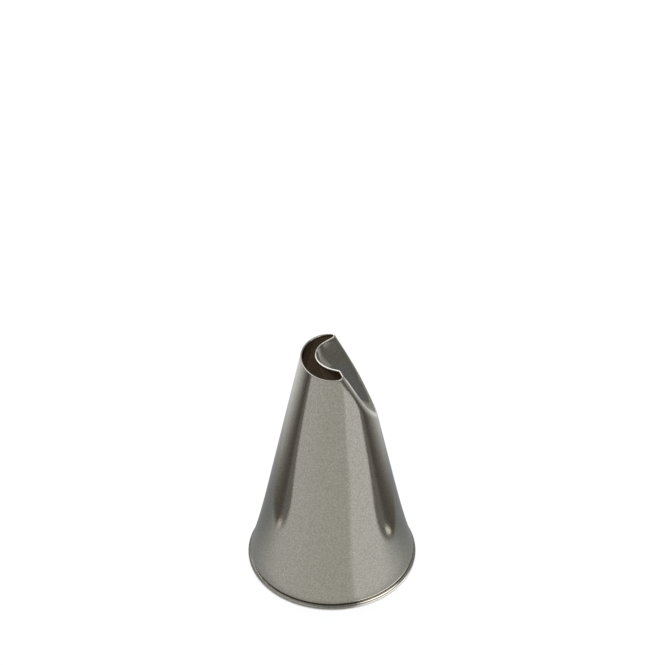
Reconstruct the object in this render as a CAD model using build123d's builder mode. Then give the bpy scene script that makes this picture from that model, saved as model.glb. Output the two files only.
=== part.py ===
from build123d import *
import os
from math import radians, sin, cos, tan

# A small piping nozzle, drawn and pressed from one piece of stainless sheet.
# Sizes are in millimetres and angles in degrees. The rim stands on z = 0, the axis is Z, and the
# groove that folds the mouth into a crescent is pressed in from +X.

# Sheet, measured level: drawing thins it towards the mouth
sheet = 0.3
mouth_sheet = 0.22

# Cone, straight from the flare to the mouth
nozzle_height = 28.0
mouth_radius = 3.2
flare_height = 5.0
cone_angle = 11.0

# Rolled rim: the sheet spreads in the flare and its edge is curled into a closed bead
rim_radius = 9.0
bead_radius = 0.3
bead_flats = 12

# Ridges: pressing spreads the mouth sideways and leaves a fold on each side of the groove
mouth_half_width = 3.72
ridge_reach = 0.86
ridge_lean_angle = 26.0
fold_radius = 0.57
softness_share = 1.45

# Groove: its floor runs beside the far wall at the mouth, then leaves it for the cone
floor_reach = 1.35
floor_slope_angle = 11.3
ramp_reach = 2.1
ramp_slope_angle = 38.0
floor_bend = 0.6
nose_radius = 3.6
nose_half_width = 2.38
nose_wall_rise = 1.0

# Points of an outline, closest at the ridge: 0 is the groove, 1 the ridge, 2 the side and 3 the back
groove_shares = (0.25, 0.45, 0.6, 0.72, 0.82, 0.9, 0.96)
side_shares = (1.02, 1.1, 1.2, 1.35, 1.5, 1.65, 1.83)
back_shares = (2.0, 2.2, 2.4, 2.6, 2.8)
half_shares = (*groove_shares, *side_shares, *back_shares)
outline_shares = (-3.0, *[-share for share in reversed(half_shares)], 0.0, *half_shares)

# The turns between which the ridge is looked for, and how finely the crown is made
first_ridge_angle = 28.0
last_ridge_angle = 68.0
ridge_steps = 400
bands = 20
join_tolerance = 0.001

softness = softness_share * fold_radius
cone_slope = tan(radians(cone_angle))
ridge_slope = tan(radians(ridge_lean_angle))
floor_slope = tan(radians(floor_slope_angle))
ramp_slope = tan(radians(ramp_slope_angle))
ridge_range = last_ridge_angle - first_ridge_angle
ridge_turns = [first_ridge_angle + ridge_range * step / ridge_steps for step in range(ridge_steps)]

# The pressing ends where both the ridges and the groove have run out on the cone
ridge_length = (mouth_radius - ridge_reach + softness) / (ridge_slope - cone_slope)
groove_length = (mouth_radius + ramp_reach + softness) / (ramp_slope - cone_slope)
press_length = max(ridge_length, groove_length)
press_height = nozzle_height - press_length


def cone_radius(height):
    """Outer radius of the straight cone."""
    return mouth_radius + cone_slope * (nozzle_height - height)


def fold(first, second, reach):
    """The smaller of two lengths, eased over a reach where they are nearly equal."""
    gap = max(reach - abs(first - second), 0.0) / reach
    return min(first, second) - reach * gap**3 / 6


def wall_lines(turn, height, inset):
    """Place across the nozzle at a turn, and how far forward its side and its groove lie there."""
    drop = nozzle_height - height
    radius = cone_radius(height) - inset
    spread_share = max(1 - drop / press_length, 0.0) ** 1.5
    half_width = radius + (mouth_half_width - mouth_radius) * spread_share
    across = half_width * sin(radians(turn))
    round_side = radius * cos(radians(turn))
    ridge_side = ridge_reach - inset + ridge_slope * drop
    side = fold(round_side, ridge_side, softness_share * (fold_radius - inset))
    floor = floor_slope * drop - floor_reach
    ramp = ramp_slope * drop - ramp_reach
    groove_floor = -fold(-floor, -ramp, floor_bend) - inset
    nose = across**2 / (2 * (nose_radius + inset))
    nose_wall = nose_wall_rise * (across / (nose_half_width + inset)) ** 6
    return across, side, groove_floor + nose + nose_wall


def wall_point(turn, height, inset):
    """Point of one face of the sheet."""
    across, side, groove = wall_lines(turn, height, inset)
    return fold(side, groove, softness_share * (fold_radius - inset)), across


def turn_at(share, ridge_turn):
    """Turn of the outline's point at a share, for a ridge at the given turn."""
    size = abs(share)
    turn = ridge_turn * size
    if size > 1:
        turn = ridge_turn + (90 - ridge_turn) * (size - 1)
    if size > 2:
        turn = 90 * (size - 1)
    return turn if share > 0 else -turn


def outline(height, inset):
    """Closed smooth outline of one face of the sheet at one height."""

    def mismatch(turn):
        across, side, groove = wall_lines(turn, height, inset)
        return abs(side - groove)

    ridge_turn = min(ridge_turns, key=mismatch)
    points = [wall_point(turn_at(share, ridge_turn), height, inset) for share in outline_shares]
    return Edge.make_spline(points, periodic=True, parameters=[*outline_shares, 3.0])


# Skirt: the round part of the sheet, with its cone, flare and rolled rim
top_radius = cone_radius(press_height)
flare_radius = cone_radius(flare_height)
foot_radius = rim_radius - bead_radius + sheet / 2
with BuildPart() as skirt:
    with BuildSketch(Plane.XZ):
        with BuildLine():
            outer_cone = Line((top_radius, press_height), (flare_radius, flare_height))
            outer_flare = TangentArc(outer_cone @ 1, (foot_radius, bead_radius), tangent=outer_cone % 1)
            foot = Line(outer_flare @ 1, (foot_radius - sheet, bead_radius))
            inner_cone = Line((top_radius - sheet, press_height), (flare_radius - sheet, flare_height))
            TangentArc(inner_cone @ 1, foot @ 1, tangent=inner_cone % 1)
            Line(inner_cone @ 0, outer_cone @ 0)
        make_face()
        # The closed bead: its lowest flat is the narrow land that the nozzle stands on
        with Locations((rim_radius - bead_radius, bead_radius)):
            RegularPolygon(bead_radius, bead_flats, major_radius=False, rotation=180 / bead_flats)
    revolve(axis=Axis.Z)

# Crown: the pressed part of the sheet, in level bands from the round skirt up to the crescent mouth
with BuildPart() as crown:
    for top_inset, foot_inset, cut in ((0.0, 0.0, Mode.ADD), (mouth_sheet, sheet, Mode.SUBTRACT)):
        for band in range(bands + 1):
            height = press_height + press_length * band / bands
            inset = foot_inset + (top_inset - foot_inset) * band / bands
            with BuildSketch(Plane.XY.offset(height)):
                with BuildLine():
                    add(outline(height, inset))
                make_face()
        loft(ruled=True, mode=cut)

with BuildPart() as nozzle_shell:
    add(skirt.part.fuse(crown.part, tol=join_tolerance))

nozzle_shell.part.label = "nozzle_shell"

os.makedirs("parts", exist_ok=True)
export_step(nozzle_shell.part, "parts/nozzle_shell.step")
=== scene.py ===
import math

import bpy
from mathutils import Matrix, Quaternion, Vector


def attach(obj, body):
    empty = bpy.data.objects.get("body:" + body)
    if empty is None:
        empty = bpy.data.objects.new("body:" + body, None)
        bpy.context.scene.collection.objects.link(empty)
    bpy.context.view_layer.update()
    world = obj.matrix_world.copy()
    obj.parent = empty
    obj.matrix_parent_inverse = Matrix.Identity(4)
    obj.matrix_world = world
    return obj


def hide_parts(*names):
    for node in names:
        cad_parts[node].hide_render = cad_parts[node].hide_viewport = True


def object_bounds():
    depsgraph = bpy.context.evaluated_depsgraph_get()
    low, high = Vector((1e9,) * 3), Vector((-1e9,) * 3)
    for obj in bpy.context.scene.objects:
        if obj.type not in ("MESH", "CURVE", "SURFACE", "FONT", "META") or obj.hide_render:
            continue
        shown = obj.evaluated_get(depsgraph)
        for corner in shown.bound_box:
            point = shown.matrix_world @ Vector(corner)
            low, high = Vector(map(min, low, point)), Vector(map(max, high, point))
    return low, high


# A small piping nozzle of pressed stainless sheet, standing on its rim.
# Lengths are in millimetres and are made metres by mm where they reach Blender.
# The frame is the part's own: +Z up to the mouth, +X towards the side that the groove is pressed into.

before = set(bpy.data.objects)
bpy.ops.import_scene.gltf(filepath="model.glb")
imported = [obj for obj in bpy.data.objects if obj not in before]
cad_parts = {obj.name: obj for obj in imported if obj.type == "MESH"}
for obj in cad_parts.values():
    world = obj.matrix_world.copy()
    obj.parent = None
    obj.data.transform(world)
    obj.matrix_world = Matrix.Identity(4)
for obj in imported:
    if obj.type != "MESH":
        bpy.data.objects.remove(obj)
cad_low, cad_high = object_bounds()
mm = 0.001

# Sizes

rim_radius = cad_high.x / mm
nozzle_height = cad_high.z / mm

# Sheet and cone
sheet = 0.3
mouth_sheet = 0.18
mouth_radius = 3.25
cone_angle = math.radians(10.83)

# Flare and rolled rim: below the flare's height the cone spreads more and more
flare_height = 12.0
flare_spread = 0.4
flare_power = 3.6
bead_radius = 0.27
lip_turn = math.radians(68)
lip_round = math.radians(4)
lip_bevel = 0.015
inner_crease_turn = math.radians(130)
neck_height = 0.35
neck_depth = 0.17
neck_steps = 5
gap_depth = 0.24
gap_floor = 0.05

# Cut edge at the mouth
edge_radius = 0.05

# Pressing: the rule that folds the mouth into a crescent
press_height = 17.6
press_length = nozzle_height - press_height
mouth_spread = 0.49
spread_power = 1.5
mouth_pull = 0.07
ridge_reach = 0.86
ridge_lean = math.radians(26)
shelf_tilt = 0.25
shelf_edge = 3.1
shelf_length = 4.0
shoulder_reach = 1.4
shoulder_skew = 0.16
crest_reach = 0.5
crest_skew = 0.45
softness_share = 1.45
floor_reach = 1.5
ramp_reach = 3.6
ramp_lean = math.radians(46)
floor_bend = 3.0
nose_radius = 2.1
nose_half_width = 2.53
nose_wall_rise = 0.7
nose_wall_power = 6.0
groove_shift = 0.38

# How finely the wall is divided
turns = 512
press_steps = 64
inner_press_steps = 30
cone_steps = 5
flare_steps = 20
inner_flare_steps = 12
edge_steps = 3
bead_steps = 24

cone_slope = math.tan(cone_angle)


# Nodes


def add_node(tree, kind, inputs=None, **settings):
    """Adds a node; its inputs are values, or the sockets that they come from."""
    node = tree.nodes.new(kind)
    for name, value in settings.items():
        setattr(node, name, value)
    for place, value in (inputs or {}).items():
        if isinstance(value, bpy.types.NodeSocket):
            tree.links.new(value, node.inputs[place])
        else:
            node.inputs[place].default_value = value
    return node


def linear(hex_colour):
    """Linear colour from an sRGB hex value."""
    shares = [int(hex_colour[i:i + 2], 16) / 255 for i in (0, 2, 4)]
    return (*[s / 12.92 if s <= 0.04045 else ((s + 0.055) / 1.055) ** 2.4 for s in shares], 1.0)


def new_material(name):
    """Empty material, and its tree and output."""
    material = bpy.data.materials.new(name)
    material.use_nodes = True
    tree = material.node_tree
    tree.nodes.clear()
    return material, tree, add_node(tree, "ShaderNodeOutputMaterial")


# Materials


def satin_stainless():
    """Pressed stainless sheet, barrel-finished: a satin mirror with a fine pebbled grain."""
    material, tree, output = new_material("satin_pressed_stainless")
    place = add_node(tree, "ShaderNodeTexCoord").outputs["Object"]

    # Grain as fine as the pebbles that tumbling leaves, drawn a little coarser so that it shows
    grain_width = 0.16 * mm
    grain = add_node(tree, "ShaderNodeTexNoise", {
        "Vector": place, "Scale": 1 / grain_width, "Detail": 2.0, "Roughness": 0.6,
    })
    # Cloudy patches, where the sheet was rubbed more or less
    cloud_width = 1.4 * mm
    clouds = add_node(tree, "ShaderNodeTexNoise", {
        "Vector": place, "Scale": 1 / cloud_width, "Detail": 3.0, "Roughness": 0.55,
    })
    shine = add_node(tree, "ShaderNodeMapRange", {
        "Value": clouds.outputs["Fac"], "From Min": 0.3, "From Max": 0.7, "To Min": 0.08, "To Max": 0.11,
    })
    speckle = add_node(tree, "ShaderNodeMapRange", {
        "Value": grain.outputs["Fac"], "From Min": 0.3, "From Max": 0.7,
    })
    tone = add_node(tree, "ShaderNodeMix", {
        0: speckle.outputs["Result"], 6: linear("9F9B91"), 7: linear("BFBAAF"),
    }, data_type="RGBA")
    bump = add_node(tree, "ShaderNodeBump", {
        "Height": grain.outputs["Fac"], "Strength": 0.6, "Distance": 0.006 * mm,
    })
    steel = add_node(tree, "ShaderNodeBsdfPrincipled", {
        "Base Color": tone.outputs[2], "Metallic": 1.0, "Roughness": shine.outputs["Result"],
        "Normal": bump.outputs["Normal"],
    })
    tree.links.new(steel.outputs["BSDF"], output.inputs["Surface"])
    return material


# Nozzle


def section_line():
    """Closed section: up the outside, over the cut edge, down the inside and round the bead."""
    bead_middle = rim_radius - bead_radius
    lip_height = bead_radius + bead_radius * math.sin(lip_turn)
    inner_crease = bead_radius + bead_radius * math.sin(inner_crease_turn)

    def outer(height):
        low = max(flare_height - height, 0.0) / flare_height
        neck = max(lip_height + neck_height - height, 0.0) / neck_height
        side = mouth_radius + cone_slope * (nozzle_height - height)
        return side + flare_spread * low**flare_power - neck_depth * neck**2

    def inner(height):
        thinning = min(max(height - press_height, 0.0) / press_length, 1.0)
        return outer(height) - (sheet + (mouth_sheet - sheet) * thinning)

    def between(start, end, steps):
        return [start + (end - start) * step / steps for step in range(steps)]

    edge_height = nozzle_height - edge_radius
    # The sheet is cut square to the wall, so the edge falls a little towards the inside
    inner_edge_height = edge_height - mouth_sheet * cone_slope
    outside = [
        *between(lip_height, lip_height + neck_height, neck_steps),
        *between(lip_height + neck_height, flare_height, flare_steps),
        *between(flare_height, press_height, cone_steps),
        *between(press_height, edge_height, press_steps),
    ]
    inside = [
        *between(inner_edge_height, press_height, inner_press_steps),
        *between(press_height, flare_height, cone_steps),
        *between(flare_height, inner_crease, inner_flare_steps),
    ]
    # The curled edge of the sheet stops just short of the wall and leaves a narrow gap
    gap_side = outer(lip_height)
    gap_low = lip_height - gap_depth
    lip_side = bead_middle + bead_radius * math.cos(lip_turn)
    points = [
        (lip_side - lip_bevel, lip_height - lip_bevel), (gap_side + gap_floor, gap_low),
        (gap_side, gap_low), (gap_side, lip_height - gap_floor),
    ]
    points += [(outer(height), height) for height in outside]
    for step in range(edge_steps + 1):
        turn = math.pi / 2 * step / edge_steps
        side = outer(edge_height) - edge_radius * (1 - math.cos(turn))
        points.append((side, edge_height + edge_radius * math.sin(turn)))
    for step in range(edge_steps):
        turn = math.pi / 2 * (1 - step / edge_steps)
        side = inner(inner_edge_height) + edge_radius * (1 - math.cos(turn))
        points.append((side, inner_edge_height + edge_radius * math.sin(turn)))
    points += [(inner(height), height) for height in inside]
    # Round the bead from the inner crease, under it and up to the lip of the gap
    lip_end = lip_turn + 2 * math.pi
    for turn in (*between(inner_crease_turn, lip_end, bead_steps), lip_end - lip_round, lip_end):
        side = bead_middle + bead_radius * math.cos(turn)
        points.append((side, bead_radius + bead_radius * math.sin(turn)))
    return points


def section_curve(points):
    """Curve object that holds the section in its own XZ plane."""
    curve = bpy.data.curves.new("nozzle_section", "CURVE")
    curve.dimensions = "3D"
    line = curve.splines.new("POLY")
    line.points.add(len(points) - 1)
    for point, (side, height) in zip(line.points, points):
        point.co = (side * mm, 0.0, height * mm, 1.0)
    line.use_cyclic_u = True
    made = bpy.data.objects.new("nozzle_section", curve)
    bpy.context.scene.collection.objects.link(made)
    return made


def pressing_tree():
    """Spins the section round the axis, then presses the mouth as the punch does."""
    tree = bpy.data.node_groups.new("pressed_nozzle", "GeometryNodeTree")
    tree.interface.new_socket("Geometry", in_out="INPUT", socket_type="NodeSocketGeometry")
    for name, value in (
        ("Height", nozzle_height * mm),
        ("Mouth Radius", mouth_radius * mm),
        ("Cone Slope", cone_slope),
        ("Press Length", press_length * mm),
        ("Mouth Spread", mouth_spread * mm),
        ("Mouth Pull", mouth_pull * mm),
        ("Ridge Reach", ridge_reach * mm),
        ("Ridge Slope", math.tan(ridge_lean)),
        ("Shelf Tilt", shelf_tilt),
        ("Shelf Edge", shelf_edge * mm),
        ("Shelf Length", shelf_length * mm),
        ("Shoulder Reach", shoulder_reach * mm),
        ("Shoulder Skew", shoulder_skew),
        ("Crest Reach", crest_reach * mm),
        ("Crest Skew", crest_skew),
        ("Softness Share", softness_share),
        ("Floor Reach", floor_reach * mm),
        ("Ramp Reach", ramp_reach * mm),
        ("Ramp Slope", math.tan(ramp_lean)),
        ("Floor Bend", floor_bend * mm),
        ("Nose Radius", nose_radius * mm),
        ("Nose Half Width", nose_half_width * mm),
        ("Nose Wall Rise", nose_wall_rise * mm),
        ("Groove Shift", groove_shift * mm),
    ):
        socket = tree.interface.new_socket(name, in_out="INPUT", socket_type="NodeSocketFloat")
        socket.default_value = value
    tree.interface.new_socket("Turns", in_out="INPUT", socket_type="NodeSocketInt").default_value = turns
    tree.interface.new_socket("Material", in_out="INPUT", socket_type="NodeSocketMaterial")
    tree.interface.new_socket("Geometry", in_out="OUTPUT", socket_type="NodeSocketGeometry")

    given = add_node(tree, "NodeGroupInput").outputs
    section = add_node(tree, "GeometryNodeCaptureAttribute", {"Geometry": given["Geometry"]}, domain="POINT")
    section.capture_items.new("VECTOR", "Section Point")
    tree.links.new(add_node(tree, "GeometryNodeInputPosition").outputs[0], section.inputs[1])

    ring = add_node(tree, "GeometryNodeCurvePrimitiveCircle", {
        "Resolution": given["Turns"], "Radius": rim_radius * mm,
    })
    around = add_node(tree, "GeometryNodeCaptureAttribute", {
        "Geometry": ring.outputs["Curve"],
    }, domain="POINT")
    around.capture_items.new("FLOAT", "Round Share")
    tree.links.new(add_node(tree, "GeometryNodeSplineParameter").outputs["Factor"], around.inputs[1])
    wall = add_node(tree, "GeometryNodeCurveToMesh", {
        "Curve": around.outputs["Geometry"], "Profile Curve": section.outputs["Geometry"],
    })

    section_point = add_node(tree, "ShaderNodeSeparateXYZ", {0: section.outputs[1]})
    known = {socket.name: socket for socket in given}
    known["side"] = section_point.outputs["X"]
    known["up"] = section_point.outputs["Z"]
    known["share"] = around.outputs[1]
    # Each line is a name, an operation and what it works on
    for name, operation, *terms in (
        ("turn", "MULTIPLY_ADD", "share", 2 * math.pi, -math.pi),
        ("drop", "SUBTRACT", "Height", "up"),
        ("cone radius", "MULTIPLY_ADD", "drop", "Cone Slope", "Mouth Radius"),
        ("inset", "SUBTRACT", "cone radius", "side"),
        # The mouth spreads sideways as it is pressed flat
        ("press share", "DIVIDE", "drop", "Press Length"),
        ("press share", "SUBTRACT", 1.0, "press share"),
        ("press share", "MAXIMUM", "press share", 0.0),
        ("press share", "POWER", "press share", spread_power),
        ("half width", "MULTIPLY_ADD", "press share", "Mouth Spread", "side"),
        ("sine", "SINE", "turn"),
        ("cosine", "COSINE", "turn"),
        ("across", "MULTIPLY", "half width", "sine"),
        ("round side", "MULTIPLY", "side", "cosine"),
        ("round side", "MULTIPLY_ADD", "press share", "Mouth Pull", "round side"),
        # The ridges lie in one leaning plane, and at the mouth they dip a little towards the groove
        ("ridge side", "MULTIPLY_ADD", "drop", "Ridge Slope", "Ridge Reach"),
        ("ridge side", "SUBTRACT", "ridge side", "inset"),
        ("shelf share", "DIVIDE", "drop", "Shelf Length"),
        ("shelf share", "SUBTRACT", 1.0, "shelf share"),
        ("shelf share", "MAXIMUM", "shelf share", 0.0),
        ("shelf width", "ABSOLUTE", "across"),
        ("shelf width", "SUBTRACT", "shelf width", "Shelf Edge"),
        ("shelf width", "MINIMUM", "shelf width", 0.0),
        ("shelf", "MULTIPLY", "shelf width", "Shelf Tilt"),
        ("ridge side", "MULTIPLY_ADD", "shelf", "shelf share", "ridge side"),
        # The shoulder is rounder on the near side and sharpens downwards
        ("shoulder skew", "MULTIPLY", "across", "Shoulder Skew"),
        ("shoulder reach", "SUBTRACT", "Shoulder Reach", "shoulder skew"),
        ("shoulder reach", "MULTIPLY", "shoulder reach", "press share"),
        # A sheet's inner face bends tighter than its outer one
        ("fold loss", "MULTIPLY", "inset", "Softness Share"),
        ("shoulder reach", "SUBTRACT", "shoulder reach", "fold loss"),
        ("shoulder reach", "MAXIMUM", "shoulder reach", 0.0),
        ("outer side", "SMOOTH_MIN", "round side", "ridge side", "shoulder reach"),
        # The far ridge's crest is rounder than the near one's
        ("far share", "MAXIMUM", "across", 0.0),
        ("crest reach", "MULTIPLY_ADD", "far share", "Crest Skew", "Crest Reach"),
        ("crest reach", "SUBTRACT", "crest reach", "fold loss"),
        ("crest reach", "MAXIMUM", "crest reach", 0.0),
        # The groove's floor runs beside the far wall, then ramps out to the cone
        ("floor", "MULTIPLY", "drop", "Cone Slope"),
        ("floor", "SUBTRACT", "floor", "Floor Reach"),
        ("ramp", "MULTIPLY", "drop", "Ramp Slope"),
        ("ramp", "SUBTRACT", "ramp", "Ramp Reach"),
        ("groove floor", "SMOOTH_MAX", "floor", "ramp", "Floor Bend"),
        ("groove floor", "SUBTRACT", "groove floor", "inset"),
        # The punch has a round nose with steep flanks
        ("groove shift", "MULTIPLY", "Groove Shift", "shelf share"),
        ("nose place", "SUBTRACT", "across", "groove shift"),
        ("nose square", "MULTIPLY", "nose place", "nose place"),
        ("nose radius", "ADD", "Nose Radius", "inset"),
        ("nose radius", "MULTIPLY", "nose radius", 2.0),
        ("nose", "DIVIDE", "nose square", "nose radius"),
        ("nose half width", "ADD", "Nose Half Width", "inset"),
        ("nose share", "DIVIDE", "nose place", "nose half width"),
        ("nose share", "ABSOLUTE", "nose share"),
        ("nose wall", "POWER", "nose share", nose_wall_power),
        ("nose wall", "MULTIPLY", "nose wall", "Nose Wall Rise"),
        ("groove", "ADD", "groove floor", "nose"),
        ("groove", "ADD", "groove", "nose wall"),
        ("pressed", "SMOOTH_MIN", "outer side", "groove", "crest reach"),
        # Only what lies above the press height is touched
        ("is pressed", "GREATER_THAN", "press share", 0.0),
        ("pressed", "SUBTRACT", "pressed", "round side"),
        ("forward", "MULTIPLY_ADD", "is pressed", "pressed", "round side"),
    ):
        sources = {place: known.get(term, term) for place, term in enumerate(terms)}
        known[name] = add_node(tree, "ShaderNodeMath", sources, operation=operation, label=name).outputs[0]

    place = add_node(tree, "ShaderNodeCombineXYZ", {
        "X": known["forward"], "Y": known["across"], "Z": known["up"],
    })
    pressed = add_node(tree, "GeometryNodeSetPosition", {
        "Geometry": wall.outputs["Mesh"], "Position": place.outputs["Vector"],
    })
    # The spin leaves the faces pointing into the sheet
    outward = add_node(tree, "GeometryNodeFlipFaces", {"Mesh": pressed.outputs["Geometry"]})
    smooth = add_node(tree, "GeometryNodeSetShadeSmooth", {
        "Geometry": outward.outputs["Mesh"], "Shade Smooth": True,
    })
    real = add_node(tree, "GeometryNodeRealizeInstances", {"Geometry": smooth.outputs["Geometry"]})
    coated = add_node(tree, "GeometryNodeSetMaterial", {
        "Geometry": real.outputs["Geometry"], "Material": given["Material"],
    })
    add_node(tree, "NodeGroupOutput", {"Geometry": coated.outputs["Geometry"]})
    return tree


def make_nozzle(material):
    """The whole nozzle as one closed mesh."""
    section = section_curve(section_line())
    modifier = section.modifiers.new("pressing", "NODES")
    modifier.node_group = pressing_tree()
    for socket in modifier.node_group.interface.items_tree:
        if socket.in_out == "INPUT" and socket.name == "Material":
            modifier[socket.identifier] = material
    evaluated = section.evaluated_get(bpy.context.evaluated_depsgraph_get())
    mesh = bpy.data.meshes.new_from_object(evaluated)
    bpy.data.objects.remove(section)
    nozzle = bpy.data.objects.new("pressed_nozzle", mesh)
    bpy.context.scene.collection.objects.link(nozzle)
    return nozzle


nozzle = make_nozzle(satin_stainless())
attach(nozzle, "root")
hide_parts("nozzle_shell")

# Studio

# How far the camera's right-hand side is turned from the groove's side
camera_turn = math.radians(7.5)

# Painted reflection of two dark neighbours beside the nozzle: dark strips in the table's mirrored colour,
# shown in the nozzle's sides
row_turn = math.radians(5.7)
painted_neighbour_reach = 28
painted_neighbour_shift = 1.8

# Where the painted lamp light on the mirrored table starts: its bearing turns with the reach, in radians for
# each metre
light_edge_twist = -7.2

# The shade comes a little further round on the right, by this much for each unit of length
shade_slope = 0.09

# Strength of the painted light on the mirrored table close to the rim, standing for light that the steel
# throws there
thrown_strength = 2.2

# Share of the table that the camera sees as plain white; the rest is matt and holds the shadow
white_share = 0.85

# Strengths of the painted dark room near the table, shown only in the steel's reflections, and of what lights
# everything else
horizon_strength = 0.24
soft_strength = 0.7

# Painted lamp glows in the world, which show only in the steel's reflections: a soft one at the left, two
# behind and the main one at the right.
# Bearing from the camera's side, lift, where the glow starts and is full, all in degrees, and strength
painted_lamp_glows = (
    (-50, 10, 45, 25, 0.65),
    (178, 22, 24, 12, 1.6),
    (-160, 52, 20, 12, 3.0),
    (68, 40, 26, 18, 3.2),
)

# Painted glints on the mirrored table at the near ends of the painted neighbours: name, place to the right
# and back, turn of the long side, half its length and half its width, and strength
glints = (
    ("left glint", -21.0, -2.9, 65, 1.8, 0.5, 1.35),
    ("right glint", 18.6, -2.9, 119, 1.8, 0.64, 1.5),
)
glint_tint = (1.0, 0.97, 0.9)

# Where a glint ends and where it is full, as shares of its ellipse
glint_end = 1.3
glint_full = 0.5


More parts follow.
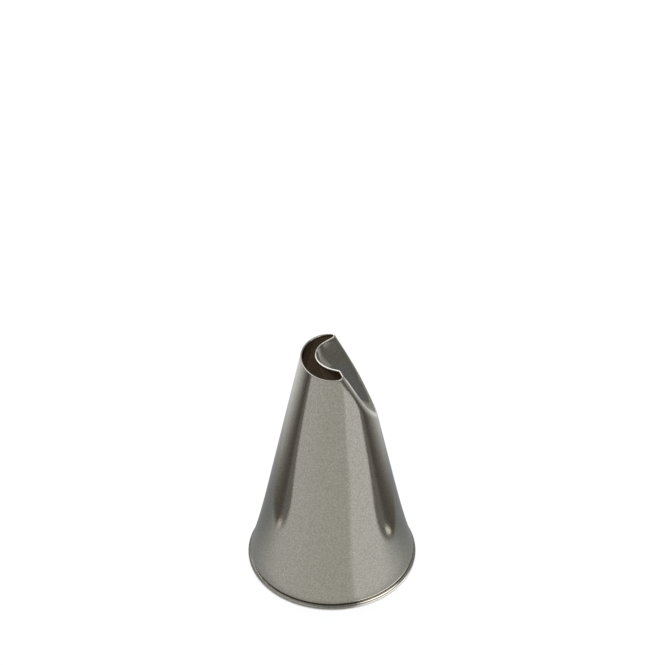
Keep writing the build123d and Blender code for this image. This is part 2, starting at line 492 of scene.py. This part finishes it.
def studio_floor():
    """White floor with its shadow; the steel mirrors painted light and shade: a shaded table between two dark
    neighbours.
    """
    material, tree, output = new_material("white_table_painted_reflection")
    ray = add_node(tree, "ShaderNodeLightPath")
    place = add_node(tree, "ShaderNodeTexCoord").outputs["Object"]
    turned = add_node(tree, "ShaderNodeMapping", {"Vector": place, "Rotation": (0, 0, row_turn)})
    sides = add_node(tree, "ShaderNodeSeparateXYZ", {0: turned.outputs["Vector"]})
    known = {"right": sides.outputs["X"], "back": sides.outputs["Y"]}
    known["reach"] = add_node(tree, "ShaderNodeVectorMath", {0: place}, operation="LENGTH").outputs["Value"]
    # Each line is a name, an operation and what it works on
    for name, operation, *terms in (
        ("front", "MULTIPLY", "back", -1.0),
        ("bearing", "ARCTAN2", "right", "front"),
        ("light edge", "MULTIPLY_ADD", "reach", light_edge_twist, "bearing"),
        ("backways", "MULTIPLY_ADD", "right", shade_slope, "back"),
        # How far a point lies from the line in the middle of the nearer painted neighbour
        ("sideways", "ADD", "right", painted_neighbour_shift * mm),
        ("sideways", "ABSOLUTE", "sideways"),
        ("sideways", "SUBTRACT", "sideways", painted_neighbour_reach * mm),
        ("sideways", "MINIMUM", "sideways", 0.0),
        ("sideways", "MULTIPLY", "sideways", "sideways"),
        ("frontways", "MINIMUM", "back", 0.0),
        ("frontways", "MULTIPLY_ADD", "frontways", "frontways", "sideways"),
        ("to neighbour", "SQRT", "frontways"),
    ):
        sources = {place: known.get(term, term) for place, term in enumerate(terms)}
        known[name] = add_node(tree, "ShaderNodeMath", sources, operation=operation, label=name).outputs[0]
    # Each line is a name, what it reads, where it starts and ends, and its values there
    for name, source, start, end, first, last in (
        ("past the rim", "reach", 8.7 * mm, 9.2 * mm, 0.0, 1.0),
        # Painted shade on the mirrored table close to the rim, lifting further out
        ("clear of the rim", "reach", 9 * mm, 13.5 * mm, 0.68, 1.0),
        ("beside the rim", "reach", 9.5 * mm, 10.2 * mm, 1.0, 0.0),
        ("far", "reach", 64 * mm, 78 * mm, 0.0, 1.0),
        ("far behind", "reach", 40 * mm, 75 * mm, 0.0, 1.0),
        ("left light", "bearing", math.radians(-60), math.radians(5), 1.0, 0.0),
        ("right light", "light edge", math.radians(9), math.radians(17), 0.0, 1.0),
        ("lamp starts", "bearing", math.radians(10), math.radians(25), 0.0, 1.0),
        ("lamp ends", "bearing", math.radians(55), math.radians(75), 1.0, 0.0),
        ("shade", "backways", -9 * mm, 5 * mm, 0.0, 1.0),
        ("behind", "back", 8 * mm, 40 * mm, 0.0, 1.0),
        # Painted reflection: the dark neighbours' strips on the mirrored table
        ("neighbour", "to neighbour", 9.3 * mm, 10.7 * mm, 1.0, 0.0),
        ("neighbour's core", "back", -5 * mm, -1 * mm, 0.0, 1.0),
        ("behind the neighbour", "back", 0.0, 35 * mm, 0.0, 1.0),
    ):
        known[name] = add_node(tree, "ShaderNodeMapRange", {
            "Value": known[source], "From Min": start, "From Max": end, "To Min": first, "To Max": last,
        }, interpolation_type="SMOOTHSTEP", label=name).outputs["Result"]
    # Painted light on the mirrored table close to the rim, standing for the lamp's light thrown back by the
    # steel
    known["thrown light"] = known["beside the rim"]
    for part in ("lamp starts", "lamp ends"):
        known["thrown light"] = add_node(
            tree, "ShaderNodeMath", {0: known["thrown light"], 1: known[part]}, operation="MULTIPLY"
        ).outputs[0]

    for name, right, back, turn, half_length, half_width, strength in glints:
        near = add_node(tree, "ShaderNodeMapping", {
            "Vector": turned.outputs["Vector"], "Location": (right * mm, back * mm, 0),
            "Rotation": (0, 0, math.radians(turn)), "Scale": (half_length * mm, half_width * mm, 1),
        }, vector_type="TEXTURE")
        away = add_node(tree, "ShaderNodeVectorMath", {0: near.outputs["Vector"]}, operation="LENGTH")
        known[name] = add_node(tree, "ShaderNodeMapRange", {
            "Value": away.outputs["Value"], "From Min": glint_end, "From Max": glint_full,
        }, interpolation_type="SMOOTHSTEP").outputs["Result"]
        known[name + " tone"] = (*[part * strength for part in glint_tint], 1)
    known["thrown tone"] = (thrown_strength, thrown_strength, thrown_strength, 1)

    # Painted light and shade: these tones make the table as the steel mirrors it, with painted lamp light,
    # shade, dark neighbours and glints
    # Each line is a tone's name, how far it goes from a first tone to a second one, and those two
    for name, share, *ends in (
        # Painted shade: the mirrored table darkens further off and further back
        ("behind tone", "far behind", "F6F8FA", "B4B3B0"),
        # Painted pools of lamp light at the left and right
        ("front tone", "left light", "D3D5D2", "DBDDDE"),
        ("front tone", "right light", "front tone", "F0F3F5"),
        # Painted shade close to the rim
        ("front tone", "clear of the rim", "000000", "front tone"),
        ("table tone", "shade", "front tone", "919596"),
        ("table tone", "behind", "table tone", "behind tone"),
        # Painted dark reflection of the neighbours, darkest in their core and fading behind
        ("neighbour tone", "neighbour's core", "888685", "686560"),
        ("neighbour tone", "behind the neighbour", "neighbour tone", "behind tone"),
        ("table tone", "neighbour", "table tone", "neighbour tone"),
        # Painted shade far off, darker than the table
        ("far tone", "behind", "807F7E", "behind tone"),
        ("table tone", "far", "table tone", "far tone"),
        # Painted glints
        ("table tone", "left glint", "table tone", "left glint tone"),
        ("table tone", "right glint", "table tone", "right glint tone"),
        ("table tone", "thrown light", "table tone", "thrown tone"),
        # Painted dim brown light inside the rim, which the steel's inner walls show in the slot
        ("table tone", "past the rim", "70635A", "table tone"),
    ):
        first, second = (known[end] if end in known else linear(end) for end in ends)
        known[name] = add_node(tree, "ShaderNodeMix", {
            0: known[share], 6: first, 7: second,
        }, data_type="RGBA", label=share).outputs[2]
    # Painted reflection: glossy rays see this painted colour in place of the table
    painted_table_reflection = add_node(tree, "ShaderNodeEmission", {"Color": known["table tone"], "Strength": 1.0})

    matt = add_node(tree, "ShaderNodeBsdfDiffuse", {"Color": linear("F4F4F4")})
    white = add_node(tree, "ShaderNodeEmission", {"Color": (1, 1, 1, 1), "Strength": 1.0})
    share = add_node(tree, "ShaderNodeMath", {0: known["past the rim"], 1: white_share}, operation="MULTIPLY")
    seen = add_node(tree, "ShaderNodeMixShader", {
        0: share.outputs[0], 1: matt.outputs[0], 2: white.outputs[0],
    })
    both = add_node(tree, "ShaderNodeMixShader", {
        0: ray.outputs["Is Glossy Ray"], 1: seen.outputs[0], 2: painted_table_reflection.outputs[0],
    })
    # Seen from below, the table is left out
    below = add_node(tree, "ShaderNodeBsdfTransparent")
    side = add_node(tree, "ShaderNodeNewGeometry").outputs["Backfacing"]
    one_sided = add_node(tree, "ShaderNodeMixShader", {0: side, 1: both.outputs[0], 2: below.outputs[0]})
    tree.links.new(one_sided.outputs[0], output.inputs["Surface"])
    return material


def card(name, corners, material):
    """Flat stage card from its corners in millimetres."""
    mesh = bpy.data.meshes.new(name)
    mesh.from_pydata([Vector(corner) * mm for corner in corners], [], [range(len(corners))])
    mesh.materials.append(material)
    made = bpy.data.objects.new(name, mesh)
    bpy.context.scene.collection.objects.link(made)


floor_half = 3000
floor_corners = [
    (side * floor_half, back * floor_half, 0)
    for side, back in ((-1, -1), (1, -1), (1, 1), (-1, 1))
]
card("table", floor_corners, studio_floor())


def studio_world():
    """White surroundings; the steel mirrors a painted room, dark near the table, with painted lamp glows in
    it.
    """
    world = bpy.data.worlds.new("white_studio")
    bpy.context.scene.world = world
    world.use_nodes = True
    tree = world.node_tree
    tree.nodes.clear()
    ray = add_node(tree, "ShaderNodeLightPath")
    way = add_node(tree, "ShaderNodeTexCoord").outputs["Generated"]
    turned = add_node(tree, "ShaderNodeMapping", {
        "Vector": way, "Rotation": (0, 0, camera_turn),
    }).outputs["Vector"]
    sides = add_node(tree, "ShaderNodeSeparateXYZ", {0: turned})
    # Painted shade in the reflections: the room is darker towards the camera's side and near the table
    # Each line is what is read, where it starts and ends, and the values there
    room, height = (
        add_node(tree, "ShaderNodeMapRange", {
            "Value": value, "From Min": start, "From Max": end, "To Min": first, "To Max": last,
        }, interpolation_type="SMOOTHSTEP").outputs["Result"]
        for value, start, end, first, last in (
            (sides.outputs["Y"], -1.0, 0.2, 0.2, 0.55),
            (sides.outputs["Z"], 0.2, 0.5, 0.0, 1.0),
        )
    )
    bright = add_node(tree, "ShaderNodeMix", {
        0: height, 2: horizon_strength, 3: room,
    }, data_type="FLOAT").outputs[0]
    for bearing, lift, start, full, strength in painted_lamp_glows:
        bearing, lift, start, full = (math.radians(angle) for angle in (bearing, lift, start, full))
        way_there = (math.sin(bearing) * math.cos(lift), -math.cos(bearing) * math.cos(lift), math.sin(lift))
        nearness = add_node(tree, "ShaderNodeVectorMath", {0: turned, 1: way_there}, operation="DOT_PRODUCT")
        glow = add_node(tree, "ShaderNodeMapRange", {
            "Value": nearness.outputs["Value"], "From Min": math.cos(start), "From Max": math.cos(full),
        }, interpolation_type="SMOOTHSTEP")
        bright = add_node(
            tree, "ShaderNodeMix", {0: glow.outputs["Result"], 2: bright, 3: strength}, data_type="FLOAT"
        ).outputs[0]
    painted_room_reflection = add_node(tree, "ShaderNodeBackground", {"Color": linear("F4F7FA"), "Strength": bright})
    soft = add_node(tree, "ShaderNodeBackground", {"Color": linear("F4F7FA"), "Strength": soft_strength})
    white = add_node(tree, "ShaderNodeBackground", {"Color": (1, 1, 1, 1), "Strength": 1.0})
    lit = add_node(tree, "ShaderNodeMixShader", {
        0: ray.outputs["Is Glossy Ray"], 1: soft.outputs[0], 2: painted_room_reflection.outputs[0],
    })
    seen = add_node(tree, "ShaderNodeMixShader", {
        0: ray.outputs["Is Camera Ray"], 1: lit.outputs[0], 2: white.outputs[0],
    })
    add_node(tree, "ShaderNodeOutputWorld", {"Surface": seen.outputs[0]})


def softbox(name, place, size, power):
    """Square area lamp that points at the nozzle."""
    lamp = bpy.data.lights.new(name, "AREA")
    lamp.size = size * mm
    lamp.energy = power
    made = bpy.data.objects.new(name, lamp)
    made.location = Vector(place) * mm
    made.rotation_euler = (-made.location).to_track_quat("-Z", "Y").to_euler()
    # What the steel mirrors is the world's painted lamp glows
    made.visible_glossy = False
    bpy.context.scene.collection.objects.link(made)


studio_world()
softbox("top_softbox", place=(0, 100, 600), size=400, power=3.0)

# Camera, at the photograph's height and distance

camera_place = Vector((-43.0, -326.3, 320.9))
camera_aim = Vector((0.16, -0.02, 31.4))
camera_roll = math.radians(-0.25)
sensor_width = 36
lens_length = 230.5
nearest_seen = 10
camera_data = bpy.data.cameras.new("camera")
camera_data.sensor_width = sensor_width
camera_data.lens = lens_length
camera_data.clip_start = nearest_seen * mm
camera = bpy.data.objects.new("camera", camera_data)
bpy.context.scene.collection.objects.link(camera)
camera.location = camera_place * mm
camera.rotation_mode = "QUATERNION"
camera.rotation_quaternion = (
    (camera_aim - camera_place).to_track_quat("-Z", "Y") @ Quaternion((0, 0, 1), camera_roll)
)
bpy.context.scene.camera = camera
bpy.context.scene.view_settings.view_transform = "Standard"
